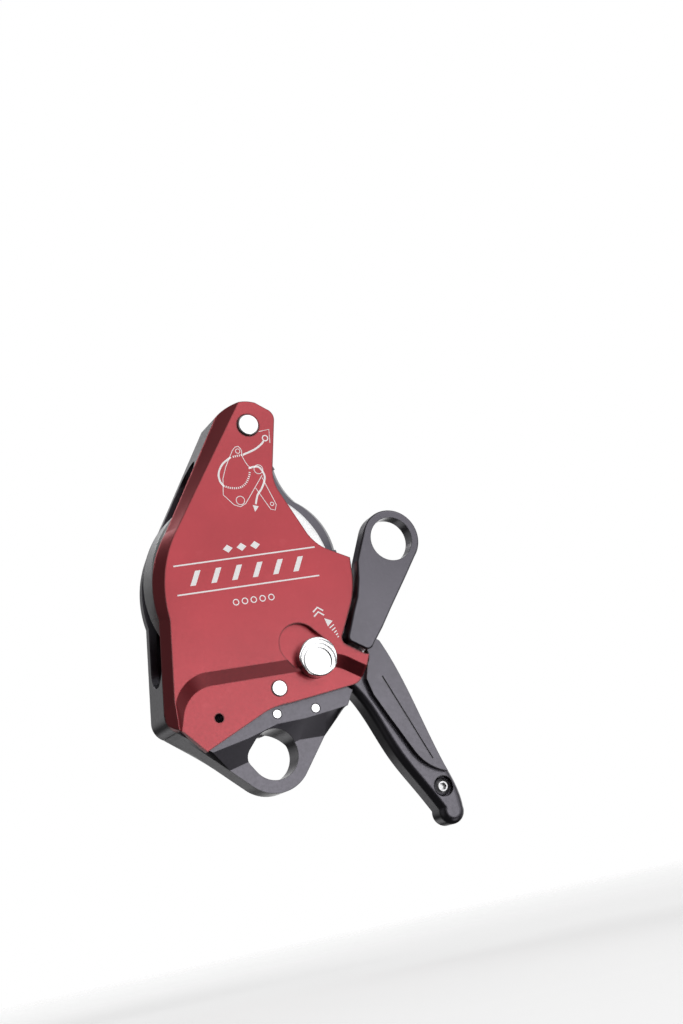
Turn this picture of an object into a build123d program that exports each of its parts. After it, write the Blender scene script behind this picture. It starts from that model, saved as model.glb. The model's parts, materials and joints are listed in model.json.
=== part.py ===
from build123d import *
import os
from math import acos, atan2, cos, degrees, hypot, radians, sin

# Rope clutch: a one-way sheave between two side plates, with a swinging release handle.

os.makedirs("parts", exist_ok=True)

# Frame: origin at the tether eye's centre on the mid-plane, +X right, +Z up, +Y to the back.
# Depths are counted towards the front, so a depth d is the plane Y = -d. Units are millimetres.

# ---------------------------------------------------------------- depths of the layers
FACE = 14.2                # outer faces of both side plates
PLATE_INSIDE = 10.6        # inner faces of both side plates
FLAT_FACE = 11.2           # outer face of the front plate's lower flat
FLAT_INSIDE = 8.7          # inner face of the front plate's rim and lower flat
CORE_FRONT = 8.5           # front of everything the front plate slides over
SHEAVE_FRONT = 8.3
SHEAVE_BACK = -6.7
ARM_FRONT = -7.1
ARM_BACK = -10.3
EYE_HALF = 5.2             # half thickness of the tether eye
HANDLE_FRONT = 7.0
HANDLE_BACK = -5.0
PANEL_FRONT = 9.6
BECKET_FRONT = 17.2
BECKET_BACK = 10.8

# ---------------------------------------------------------------- centres and radii
SHEAVE_CENTRE = (1.5, 68.0)
SHEAVE_RADIUS = 36.7
GROOVE_RADIUS = 27.5
TOP_PIN = (13.4, 127.5)
TOP_PIN_HEAD = 4.25
TOP_PIN_SHANK = 3.0
SPACER_RADIUS = 5.5
PIN_PROUD = 0.9            # height of rivetted pin heads above the plates
LOWER_RIVET = (5.2, 23.9)
LOWER_RIVET_RADIUS = 3.1
RIVET_NECK = 2.0
RIVET_PROUD = 0.5
SIGHT_HOLE = (-20.6, 16.5)
SIGHT_RADIUS = 1.75
HANDLE_PIVOT = (39.5, 31.5)
HANDLE_SHAFT = 4.0
SHAFT_HEAD = 4.7
SHAFT_FRONT = 8.2          # depth of the front of the shaft's head
NUT_APOTHEM = 6.5
NUT_BACK = -18.2
HUB_RADIUS = 10.5
ARM_PIVOT = (-6.0, 37.0)
ARM_NOSE = (37.0, 43.5)
BUTTON_CENTRE = (21.6, 32.9)
BUTTON_RADIUS = 7.6
BUTTON_GAP = 0.5
SLIDE_ANGLE = 133.2        # direction the button slides in, from +X towards +Z
SLIDE_LENGTH = 8.5
STEM_CENTRE = (25.2, 29.6)
STEM_RADIUS = 1.75
STEM_GAP = 0.2
TETHER_BORE = 9.6
TETHER_OUTER = 14.8
SWELL_RADIUS = 4.6         # the eye's hole swells to the left round this smaller circle
SWELL_CENTRE = (-6.2, 0.4)
SWELL_ANGLE = degrees(atan2(SWELL_CENTRE[1], SWELL_CENTRE[0]))
SWELL_TURN = degrees(acos((TETHER_BORE - SWELL_RADIUS) / hypot(*SWELL_CENTRE)))
BECKET_EYE = (61.6, 74.2)
BECKET_BORE = 8.7
BECKET_OUTER = 11.8
END_SCREW = (65.2, -23.8)
LOBE_CENTRE = (67.3, -33.6)  # rounded end of the handle
LOBE_RADIUS = 5.2
WALL = 3.2                 # thickness of the rear plate's side wall
FLAT_LEFT = -37.5          # left end of the front plate's lower flat
POCKET_FLOOR = 31.2        # lower end of the pocket behind the raised face
POCKET_RIM = 4.4           # width of the rim left round the pocket
POCKET_TOP = 118.0
SCREW_TIP = 2.0            # depth the rear screws reach to
COLLAR_BACK = -9.3         # front of the sheave axle's collar
BUSH_BACK = -2.9           # back of the handle bush, front of the cam's key
RECESS_FLOOR = 12.0        # depth of the button recess's floor
BUTTON_FRONT = 16.6
DISH_CENTRE = (21.7, 31.3) # thumb dish in the button
DISH_RADIUS = 4.9
GRIP_GROOVES = (7.9, 6.4)  # radii of the grooves round the dish, outer first
GRIP_WIDTH = 0.55
GRIP_DEPTH = 0.8
GROOVE_DEPTH = 1.1         # latch spring groove in the back of the lower flat
SPRING_DEPTH = 9.25
SPRING_WIRE = 0.4
SPRING_COIL = 2.5          # radius of its bend round the lower rivet
LEG_ANGLE = 15.2           # its straight leg runs tangent to the stem
LEG_LENGTH = 21.5
STEM_TIP = 8.6
STEM_TOP = 14.0
TOP_SEAT = 12.4            # depth the top pin's head sits at
TOP_BUSH_RADIUS = 4.0
REAR_SEAT = -11.8          # depth of the counterbore floors in the rear plate
DOWELS = [(3.2, 14.7), (19.0, 14.4)]
DOWEL_RADIUS = 1.9
DOWEL_FRONT = 8.6
WINDOW_LOW = 32.5          # rope window in the side wall
WINDOW_HIGH = 118.5
WINDOW_MIDDLE = 1.1        # depth of its centre line
WINDOW_HALF = 7.9
SHOE_MIDDLE = 43.5         # radius of the brake shoe's middle from the sheave's centre
SHOE_HALF = 2.0
SHOE_FRONT = 8.0
SHOE_START = -24.0
SHOE_TURN = 19.0
END_SCREW_RECESS = 4.1
END_SCREW_TIP = -3.0
END_SCREW_SEAT = 4.0
M4 = 4.0                   # screw threads
M5 = 5.0
CAP_HEAD_RADIUS = 0.85     # cap screw proportions, in thread diameters
CAP_SOCKET = 0.4
CAP_HEAD_SUNK = 0.3        # depth its head sits below the rear face
BUTTON_HEAD_RADIUS = 0.95  # button screw proportions, in thread diameters
BUTTON_HEAD_HEIGHT = 0.58
BUTTON_SOCKET = 0.32
HANDLE_FRONT_ROUND = 3.0
HANDLE_BACK_ROUND = 2.6
HANDLE_BUSH = 5.4
ENGRAVING = 0.4            # depth and width of the line along the handle
KEY_APOTHEM = 6.2          # hexagonal key between cam and handle
CAM_THROW = 2.0            # offset of the cam's centre from the handle pivot
CAM_ANGLE = -8.0
CAM_RADIUS = 9.2
CAM_BACK = -10.2
CAM_FRONT = -7.3
CAM_BOSS = 6.2
COIL_WIRE = 0.5            # handle spring round the cam's boss
COIL_PITCH = 1.2
COIL_START = 5.5
ARM_HEAD = 13.0            # radii of the arm at the sheave, at its pivot and at its nose
ARM_FOOT = 8.0
ARM_TIP = 3.5
ARM_BUSH = 5.3
ARM_PIN_HEAD = 5.5
ARM_PIN_SEAT = -8.15
ARM_PIN_SHOULDER = -8.1
AXLE_RADIUS = 6.0
AXLE_WINDOW = 8.5          # hole in the rear plate the axle's end moves in
COLLAR_RADIUS = 7.5
AXLE_SCREW = 3.0
AXLE_SCREW_HEAD = 5.0
AXLE_SCREW_FRONT = 10.3
WASHER_BACK = 8.4
WASHER_FRONT = 9.4
WASHER_RADIUS = 14.6
INNER_RING = 9.0
ROLLERS = 10
ROLLER_RADIUS = 2.0
ROLLER_CIRCLE = 11.05
ROLLER_BACK = -4.5
ROLLER_FRONT = 6.1
CAGE_INNER = 10.2
CAGE_OUTER = 12.2
CAGE_BACK = -5.5
CAGE_FRONT = 7.1
SHELL_INNER = 13.1
SHELL_OUTER = 15.0
SHELL_BACK = -6.2
SHELL_FRONT = 7.8
HUB_RIM = 22.0             # outer radius of the hub left inside the recessed webs
WEB_OUTER = 32.2
WEB_DEPTH = 1.2
RIM = 0.9                  # broken edges of the cheeks
GROOVE_MIDDLE = 0.8
GROOVE_HALF = 3.5
ROPE_BEVEL = 1.5           # eases the rope over the rear plate's inner edge
EASE = 0.4                 # broken edges of pins and shafts
SMALL_EASE = 0.3           # broken edges of the smaller pins
BECKET_ROUND = 0.8
RUNNING = 0.05             # radial running clearance
LIFT = 0.15                # clearance under sliding faces
GAP = 0.3                  # clearance round heads and buttons
FAR = 70.0                 # beyond the object on every side


# ---------------------------------------------------------------- helpers
def at(depth):
    """The sketch plane at a depth."""
    return Plane.XZ.offset(depth)


def polar(centre, radius, angle):
    """The point at a radius and an angle in degrees round a centre."""
    return (centre[0] + radius * cos(radians(angle)), centre[1] + radius * sin(radians(angle)))


def disc(centre, radius, back, front, mode=Mode.ADD):
    """A round bar or hole along Y between two depths."""
    with BuildSketch(at(back)) as profile:
        with Locations(centre):
            Circle(radius)
    extrude(profile.sketch, amount=front - back, mode=mode)


def hex_bar(centre, apothem, back, front, mode=Mode.ADD):
    """A hexagonal bar or socket along Y between two depths."""
    with BuildSketch(at(back)) as profile:
        with Locations(centre):
            RegularPolygon(apothem, 6, major_radius=False)
    extrude(profile.sketch, amount=front - back, mode=mode)


def turned(centre, corners, mode=Mode.ADD):
    """A turned solid from (radius, depth) corners."""
    turning = Plane(origin=(centre[0], 0, centre[1]), x_dir=(1, 0, 0), z_dir=(0, 0, -1))
    with BuildSketch(turning) as profile:
        with BuildLine():
            Polyline(*corners, close=True)
        make_face()
    revolve(profile.sketch, axis=Axis(turning.origin, (0, 1, 0)), mode=mode)


def button_screw(centre, size, back, seat):
    """A socket button screw: shank from back to seat, domed head in front of the seat."""
    top = seat + BUTTON_HEAD_HEIGHT * size
    brow = seat + 0.6 * BUTTON_HEAD_HEIGHT * size
    rim = BUTTON_HEAD_RADIUS * size
    disc(centre, size / 2, back, seat)
    turned(centre, [(0, seat), (rim, seat), (0.85 * rim, brow), (0.5 * rim, top), (0, top)])
    hex_bar(centre, BUTTON_SOCKET * size, (seat + brow) / 2, top, Mode.SUBTRACT)


def rear_screws(centres, size, tip):
    """Cap screws driven from the back, with their heads sunk in the rear plate."""
    head = -FACE + CAP_HEAD_SUNK
    for centre in centres:
        disc(centre, size / 2, REAR_SEAT, tip)
        disc(centre, CAP_HEAD_RADIUS * size, head, REAR_SEAT)
        hex_bar(centre, CAP_SOCKET * size, head, head + CAP_SOCKET * size, Mode.SUBTRACT)


def rear_screw_holes(centres, size, tip):
    """Holes and counterbores for the screws driven from the back."""
    for centre in centres:
        disc(centre, size / 2, -FACE, tip, Mode.SUBTRACT)
        disc(centre, CAP_HEAD_RADIUS * size + RUNNING, -FACE, REAR_SEAT, Mode.SUBTRACT)


BUTTON_MIDDLE = polar(BUTTON_CENTRE, SLIDE_LENGTH / 2, SLIDE_ANGLE)
STEM_MIDDLE = polar(STEM_CENTRE, SLIDE_LENGTH / 2, SLIDE_ANGLE)

# ---------------------------------------------------------------- shared outlines
EDGE_LOW = (-37.2, 14.2)
EDGE_FOOT = (-39.8, 16.8)
REAR_LOW = (-36.6, 15.9)    # the rear plate's own, smaller foot
REAR_FOOT = (-39.3, 18.2)
EDGE_SIDE = (-40.6, 21.5)
EDGE_WAIST = (-35.6, 57.0)
EDGE_BULGE = (-34.7, 74.5)
EDGE_FLANK = (-26.5, 90.0)
EDGE_SHOULDER = (2.6, 133.5)
TOP_RADIUS = 10.0


def left_edge(shift=0.0, low=EDGE_LOW, foot=EDGE_FOOT):
    """The left edge both plates share, from the foot up to the shoulder, moved right by shift."""
    low, foot, side, waist, bulge, flank, shoulder = [
        (x + shift, z)
        for x, z in (low, foot, EDGE_SIDE, EDGE_WAIST, EDGE_BULGE, EDGE_FLANK, EDGE_SHOULDER)
    ]
    ThreePointArc(low, foot, side)
    Line(side, waist)
    ThreePointArc(waist, bulge, flank)
    Line(flank, shoulder)
    return low, shoulder


def crown():
    """The rounded top round the top pin, from the shoulder to the right corner."""
    ThreePointArc(EDGE_SHOULDER, polar(TOP_PIN, TOP_RADIUS + 0.2, 110), polar(TOP_PIN, TOP_RADIUS, 62))
    Line(polar(TOP_PIN, TOP_RADIUS, 62), (22.4, 133.2))
    ThreePointArc((22.4, 133.2), (24.3, 131.2), (24.5, 128.0))


def rope_edge(shift=0.0):
    """The rear plate's S-shaped right edge beside the sheave, moved right by shift."""
    start, neck, knee, bow, end = [
        (x + shift, z)
        for x, z in ((30.3, 114.8), (32.4, 107.0), (36.6, 100.5), (44.9, 92.0), (49.0, 78.4))
    ]
    ThreePointArc(start, neck, knee)
    ThreePointArc(knee, bow, end)
    return start, end


def slanted_block(back, front, ramps=None):
    """A block with the shared left edge slanting inwards to the outer face, ramped at its foot."""
    top = 154.3
    foot = [(-40.2, 5.0), EDGE_SIDE, EDGE_WAIST, EDGE_BULGE, EDGE_FLANK, (16.5, top)]
    face = [(-37.7, 5.0), (-37.3, 25.5), (-33.0, 55.5), (-31.2, 74.5), (-22.8, 90.6), (24.0, top)]
    sections = []
    for number, (depth, edge) in enumerate(((back, foot), (front, face))):
        with BuildSketch(at(depth)) as section:
            with BuildLine():
                Polyline(edge[0], edge[1], edge[2])
                ThreePointArc(edge[2], edge[3], edge[4])
                Polyline(edge[4], edge[5], (FAR, top))
                if ramps:
                    ramp = ramps[number]
                    Polyline((FAR, top), ramp[0], ramp[1])
                    ThreePointArc(ramp[1], ramp[2], ramp[3])
                    Line(ramp[3], ramp[4])
                    ThreePointArc(ramp[4], ramp[5], ramp[6])
                    Line(ramp[6], edge[0])
                else:
                    Polyline((FAR, top), (FAR, 5.0), edge[0])
            make_face()
        sections.append(section.sketch)
    loft(sections, ruled=True)


# ---------------------------------------------------------------- front side plate
def front_outline():
    """The whole outline of the front side plate."""
    low, _ = left_edge()
    crown()
    Line((24.5, 128.0), (19.9, 109.5))
    ThreePointArc((19.9, 109.5), (19.3, 104.6), (20.4, 99.6))
    Line((20.4, 99.6), (27.6, 83.2))
    ThreePointArc((27.6, 83.2), (31.2, 77.4), (36.6, 73.5))
    Line((36.6, 73.5), (43.9, 69.7))
    Line((43.9, 69.7), (43.4, 63.0))
    ThreePointArc((43.4, 63.0), (42.2, 56.7), (40.0, 51.1))
    Line((40.0, 51.1), (34.1, 40.2))
    ThreePointArc((34.1, 40.2), (33.5, 37.9), (34.7, 36.1))
    Line((34.7, 36.1), (41.9, 31.3))
    Line((41.9, 31.3), (43.3, 31.0))
    Line((43.3, 31.0), (40.2, 24.5))
    ThreePointArc((40.2, 24.5), (38.6, 22.0), (35.6, 20.6))
    Line((35.6, 20.6), (9.0, 17.7))
    ThreePointArc((9.0, 17.7), (3.4, 17.3), (-1.8, 16.0))
    Line((-1.8, 16.0), (-27.7, 4.8))
    Line((-27.7, 4.8), (-34.7, 12.9))
    ThreePointArc((-34.7, 12.9), (-35.8, 13.8), low)


def finish(builder, name):
    """Label a finished piece and write its STEP file."""
    builder.part.label = name
    export_step(builder.part, f"parts/{name}.step")


with BuildPart() as front_side_plate:
    ramp_foot = [
        (FAR, -1.3), (32.5, 22.6), (29.0, 24.4), (24.5, 25.2), (-20.5, 25.0), (-28.2, 21.4), (-32.0, 13.0)
    ]
    ramp_top = [
        (FAR, 8.3), (36.0, 30.1), (31.5, 32.6), (26.0, 33.6), (-22.0, 33.9), (-31.6, 31.2), (-36.9, 24.6)
    ]
    slanted_block(FLAT_INSIDE, FACE, ramps=(ramp_foot, ramp_top))
    with BuildSketch(at(FLAT_INSIDE)) as outline:
        with BuildLine():
            front_outline()
        make_face()
    extrude(amount=FACE - FLAT_INSIDE, mode=Mode.INTERSECT)
    with BuildSketch(at(FLAT_INSIDE)):
        add(outline.sketch_local)
        with Locations((0, POCKET_FLOOR + FAR)):
            Rectangle(3 * FAR, 2 * FAR, mode=Mode.SUBTRACT)
        with Locations((FLAT_LEFT - FAR / 2, POCKET_FLOOR)):
            Rectangle(FAR, FAR, mode=Mode.SUBTRACT)
    extrude(amount=FLAT_FACE - FLAT_INSIDE)
    # pocket behind the raised face, clear of the axle screw, the latch and the handle's panel
    with BuildSketch(at(FLAT_INSIDE)):
        with BuildLine():
            low, shoulder = left_edge(shift=POCKET_RIM)
            Polyline(shoulder, (FAR, shoulder[1]), (FAR, low[1]), low)
        make_face()
        for middle in (POCKET_FLOOR - FAR, POCKET_TOP + FAR):
            with Locations((0, middle)):
                Rectangle(3 * FAR, 2 * FAR, mode=Mode.SUBTRACT)
    extrude(amount=PLATE_INSIDE - FLAT_INSIDE, mode=Mode.SUBTRACT)
    # recess the release button slides in, and the slot for its stem
    with BuildSketch(at(RECESS_FLOOR)):
        with Locations(BUTTON_MIDDLE):
            SlotCenterToCenter(SLIDE_LENGTH, 2 * (BUTTON_RADIUS + BUTTON_GAP), rotation=SLIDE_ANGLE)
    extrude(amount=FACE - RECESS_FLOOR, mode=Mode.SUBTRACT)
    with BuildSketch(at(FLAT_INSIDE)):
        with Locations(STEM_MIDDLE):
            SlotCenterToCenter(SLIDE_LENGTH, 2 * (STEM_RADIUS + STEM_GAP), rotation=SLIDE_ANGLE)
    extrude(amount=FACE - FLAT_INSIDE, mode=Mode.SUBTRACT)
    # groove for the latch spring
    with BuildSketch(at(FLAT_INSIDE)):
        with BuildLine():
            Polyline((1.5, 20.4), (1.5, 28.0), (18.0, POCKET_FLOOR + 1), (28.0, POCKET_FLOOR + 1),
                     (27.5, 25.6), (8.0, 20.4), close=True)
        make_face()
    extrude(amount=GROOVE_DEPTH, mode=Mode.SUBTRACT)
    disc(TOP_PIN, TOP_BUSH_RADIUS, FLAT_INSIDE, FACE, Mode.SUBTRACT)
    disc(TOP_PIN, TOP_PIN_HEAD + GAP, TOP_SEAT, FACE, Mode.SUBTRACT)
    disc(LOWER_RIVET, LOWER_RIVET_RADIUS, FLAT_INSIDE, FACE, Mode.SUBTRACT)
    disc(SIGHT_HOLE, SIGHT_RADIUS, FLAT_INSIDE, FACE, Mode.SUBTRACT)
finish(front_side_plate, "front_side_plate")

with BuildPart() as lower_plate_rivet:
    disc(LOWER_RIVET, LOWER_RIVET_RADIUS, FLAT_INSIDE + GROOVE_DEPTH, FLAT_FACE + RIVET_PROUD)
    disc(LOWER_RIVET, RIVET_NECK, FLAT_INSIDE, FLAT_INSIDE + GROOVE_DEPTH)
    chamfer(lower_plate_rivet.edges().group_by(Axis.Y)[0], SMALL_EASE)
finish(lower_plate_rivet, "lower_plate_rivet")

with BuildPart() as latch_spring:
    with BuildLine(at(SPRING_DEPTH)) as wire:
        CenterArc(LOWER_RIVET, SPRING_COIL, 0, LEG_ANGLE - 270)
        leg_start = polar(LOWER_RIVET, SPRING_COIL, LEG_ANGLE + 90)
        Line(leg_start, polar(leg_start, LEG_LENGTH, LEG_ANGLE))
    with BuildSketch(Plane(origin=wire.line @ 0, z_dir=wire.line % 0)):
        Circle(SPRING_WIRE)
    sweep(path=wire.line, transition=Transition.ROUND)
finish(latch_spring, "latch_spring")

# ---------------------------------------------------------------- top pin and what sits on it
with BuildPart() as top_bush:
    disc(TOP_PIN, TOP_BUSH_RADIUS, FLAT_INSIDE, TOP_SEAT)
    disc(TOP_PIN, TOP_PIN_SHANK + RUNNING, FLAT_INSIDE, TOP_SEAT, Mode.SUBTRACT)
finish(top_bush, "top_bush")

with BuildPart() as top_pin:
    disc(TOP_PIN, TOP_PIN_HEAD, TOP_SEAT + RUNNING, FACE + PIN_PROUD)
    disc(TOP_PIN, TOP_PIN_SHANK, -FACE, TOP_SEAT + RUNNING)
    disc(TOP_PIN, TOP_PIN_HEAD, -FACE - PIN_PROUD, -FACE)
    chamfer(top_pin.edges().group_by(Axis.Y)[0], EASE)
    chamfer(top_pin.edges().group_by(Axis.Y)[-1], EASE)
finish(top_pin, "top_pin")

with BuildPart() as top_spacer:
    disc(TOP_PIN, SPACER_RADIUS, -PLATE_INSIDE, CORE_FRONT)
    disc(TOP_PIN, TOP_PIN_SHANK, -PLATE_INSIDE, CORE_FRONT, Mode.SUBTRACT)
finish(top_spacer, "top_spacer")

# ---------------------------------------------------------------- release button and latch stem
with BuildPart() as release_button:
    disc(BUTTON_CENTRE, BUTTON_RADIUS, RECESS_FLOOR + LIFT, BUTTON_FRONT)
    chamfer(release_button.edges().group_by(Axis.Y)[0], EASE)
    # thumb dish and the two grooves round it
    with BuildSketch(at(BUTTON_FRONT - GRIP_DEPTH)):
        with Locations(DISH_CENTRE):
            for radius in GRIP_GROOVES:
                Circle(radius + GRIP_WIDTH / 2)
                Circle(radius - GRIP_WIDTH / 2, mode=Mode.SUBTRACT)
            Circle(DISH_RADIUS)
    extrude(amount=GRIP_DEPTH, mode=Mode.SUBTRACT)
    disc(STEM_CENTRE, STEM_RADIUS, RECESS_FLOOR, STEM_TOP, Mode.SUBTRACT)
finish(release_button, "release_button")

with BuildPart() as latch_stem:
    disc(STEM_CENTRE, STEM_RADIUS, STEM_TIP, STEM_TOP)
    chamfer(latch_stem.edges().group_by(Axis.Y)[-1], SMALL_EASE)
finish(latch_stem, "latch_stem")

# ---------------------------------------------------------------- rear side plate with the side wall
FRAME_SCREWS = [(-28.0, 21.0), (-9.0, 18.0), (26.0, 20.0)]
SHOE_SCREWS = [polar(SHEAVE_CENTRE, SHOE_MIDDLE, angle) for angle in (-19.5, -9.5)]
BECKET_SCREWS = [(50.3, 48.8), (54.4, 54.4)]
with BuildPart() as rear_side_plate:
    slanted_block(-FLAT_INSIDE, -FACE)
    with BuildSketch(at(-FACE)):
        with BuildLine():
            low, _ = left_edge(low=REAR_LOW, foot=REAR_FOOT)
            crown()
            start, end = rope_edge()
            Line((24.5, 128.0), start)
            Polyline(end, (51.0, 68.0), (57.5, 61.5), (61.0, 56.5), (58.5, 47.5), (54.0, 43.0), (52.0, 36.0),
                     (49.5, 27.0), (43.5, 20.5), (36.5, 17.0), (2.0, 9.0), (-16.0, 12.5), (-31.0, 17.0), low)
        make_face()
    extrude(amount=FACE - FLAT_INSIDE, mode=Mode.INTERSECT)
    with BuildSketch(at(-PLATE_INSIDE)):
        Rectangle(6 * FAR, 6 * FAR)
    extrude(amount=FAR, mode=Mode.SUBTRACT)
    with BuildSketch(at(-PLATE_INSIDE)):
        with BuildLine():
            outer_low, outer_shoulder = left_edge()
        with BuildLine():
            inner_low, inner_shoulder = left_edge(shift=WALL)
        with BuildLine():
            Line(outer_low, inner_low)
            Line(outer_shoulder, inner_shoulder)
        make_face()
    extrude(amount=PLATE_INSIDE + CORE_FRONT)
    # bevel that eases the rope over the inner edge
    for depth, shift in ((-PLATE_INSIDE - ROPE_BEVEL, 0.0), (-PLATE_INSIDE, -ROPE_BEVEL)):
        with BuildSketch(at(depth)):
            with BuildLine():
                start, end = rope_edge(shift)
                Polyline(start, (FAR, start[1]), (FAR, end[1]), end)
            make_face()
    loft(ruled=True, mode=Mode.SUBTRACT)
    # window the rope leaves the sheave through
    with BuildSketch(Plane.YZ.offset(-FAR)):
        with Locations((-WINDOW_MIDDLE, (WINDOW_LOW + WINDOW_HIGH) / 2)):
            SlotOverall(WINDOW_HIGH - WINDOW_LOW, 2 * WINDOW_HALF, rotation=90)
    extrude(amount=FAR, mode=Mode.SUBTRACT)
    disc(SHEAVE_CENTRE, AXLE_WINDOW, -FACE, -PLATE_INSIDE, Mode.SUBTRACT)
    disc(TOP_PIN, TOP_PIN_SHANK, -FACE, -PLATE_INSIDE, Mode.SUBTRACT)
    disc(HANDLE_PIVOT, HANDLE_SHAFT, -FACE, -PLATE_INSIDE, Mode.SUBTRACT)
    disc(ARM_PIVOT, HANDLE_SHAFT, -FACE, -PLATE_INSIDE, Mode.SUBTRACT)
    rear_screw_holes(FRAME_SCREWS, M5, -PLATE_INSIDE)
    rear_screw_holes(SHOE_SCREWS, M4, -PLATE_INSIDE)
    rear_screw_holes(BECKET_SCREWS, M4, -PLATE_INSIDE)
finish(rear_side_plate, "rear_side_plate")

# ---------------------------------------------------------------- anchor frame with the tether eye
with BuildPart() as anchor_frame:
    corner = (-37.0, 14.1)
    heel = (-34.8, 12.4)
    shelf = [
        (35.6, 19.0), (31.0, 22.5), (27.4, 26.3), (-28.0, 26.3), (-36.9, 24.0), (-37.1, 21.6), (-33.7, 14.1), corner
    ]
    with BuildSketch(at(-EYE_HALF)):
        with BuildLine():
            Polyline(corner, heel, (-10.7, -10.5))
            ThreePointArc((-10.7, -10.5), (-0.5, 0.2 - TETHER_OUTER), (11.8, -8.5))
            Polyline((11.8, -8.5), (21.6, 3.7), (32.3, 13.4), *shelf)
        make_face()
    extrude(amount=2 * EYE_HALF)
    inner_foot = [(-18.5, -2.9), (-10.8, -1.0), (0.0, 1.4), (11.4, 3.9), (21.6, 3.7), (32.3, 13.4)]
    outer_foot = [(-24.8, 4.6), (-9.6, 7.6), (2.5, 11.0), (14.1, 11.3), (23.0, 12.3), (32.3, 13.4)]
    for inner, outer in ((EYE_HALF, CORE_FRONT), (-EYE_HALF, -PLATE_INSIDE)):
        for depth, foot in ((inner, inner_foot), (outer, outer_foot)):
            with BuildSketch(at(depth)):
                with BuildLine():
                    Polyline(corner, heel, *foot, *shelf)
                make_face()
        loft(ruled=True)
    # the eye's hole: two circles joined by their common tangents
    upper_turn = SWELL_ANGLE - SWELL_TURN
    lower_turn = SWELL_ANGLE + SWELL_TURN
    with BuildSketch(at(-PLATE_INSIDE)):
        with BuildLine():
            for centre, radius, way in (((0, 0), TETHER_BORE, 0), (SWELL_CENTRE, SWELL_RADIUS, 180)):
                ThreePointArc(polar(centre, radius, upper_turn), polar(centre, radius, way),
                              polar(centre, radius, lower_turn))
            for turn in (upper_turn, lower_turn):
                Line(polar((0, 0), TETHER_BORE, turn), polar(SWELL_CENTRE, SWELL_RADIUS, turn))
        make_face()
    extrude(amount=PLATE_INSIDE + CORE_FRONT, mode=Mode.SUBTRACT)
    for centre in FRAME_SCREWS:
        disc(centre, M5 / 2, -PLATE_INSIDE, SCREW_TIP, Mode.SUBTRACT)
    for centre in DOWELS:
        disc(centre, DOWEL_RADIUS, SCREW_TIP, CORE_FRONT, Mode.SUBTRACT)
    disc(SIGHT_HOLE, SIGHT_RADIUS, SCREW_TIP, CORE_FRONT, Mode.SUBTRACT)
finish(anchor_frame, "anchor_frame")

with BuildPart() as frame_dowels:
    for centre in DOWELS:
        disc(centre, DOWEL_RADIUS, SCREW_TIP, DOWEL_FRONT)
    chamfer(frame_dowels.edges().group_by(Axis.Y)[0], SMALL_EASE)
finish(frame_dowels, "frame_dowels")

with BuildPart() as frame_screws:
    rear_screws(FRAME_SCREWS, M5, SCREW_TIP)
finish(frame_screws, "frame_screws")

# ---------------------------------------------------------------- becket with its eye
with BuildPart() as becket:
    with BuildSketch(at(BECKET_BACK)):
        with BuildLine():
            Polyline(polar(BECKET_EYE, BECKET_OUTER, 154.7), (45.3, 67.3), (44.0, 60.0), (42.0, 53.3),
                     (39.3, 48.0), (35.3, 39.3))
            ThreePointArc((35.3, 39.3), (35.1, 37.3), (36.3, 36.0))
            Line((36.3, 36.0), (40.2, 33.4))
            ThreePointArc((40.2, 33.4), (42.7, 32.6), (45.0, 34.2))
            Polyline((45.0, 34.2), (50.0, 40.0), (55.3, 47.0), (64.0, 58.0),
                     polar(BECKET_EYE, BECKET_OUTER, -43))
            ThreePointArc(polar(BECKET_EYE, BECKET_OUTER, -43), polar(BECKET_EYE, BECKET_OUTER, 60),
                          polar(BECKET_EYE, BECKET_OUTER, 154.7))
        make_face()
    extrude(amount=BECKET_FRONT - BECKET_BACK)
    fillet(becket.edges().group_by(Axis.Y)[0], BECKET_ROUND)
    disc(BECKET_EYE, BECKET_BORE, BECKET_BACK, BECKET_FRONT, Mode.SUBTRACT)
    with BuildSketch(at(-PLATE_INSIDE)):
        with BuildLine():
            Polyline((47.3, 45.8), (52.5, 45.5), (59.5, 56.0), (57.5, 57.5), (49.2, 57.5), close=True)
        make_face()
    extrude(amount=PLATE_INSIDE + BECKET_BACK)
    for centre in BECKET_SCREWS:
        disc(centre, M4 / 2, -PLATE_INSIDE, SCREW_TIP, Mode.SUBTRACT)
finish(becket, "becket")

with BuildPart() as becket_screws:
    rear_screws(BECKET_SCREWS, M4, SCREW_TIP)
finish(becket_screws, "becket_screws")

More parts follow.
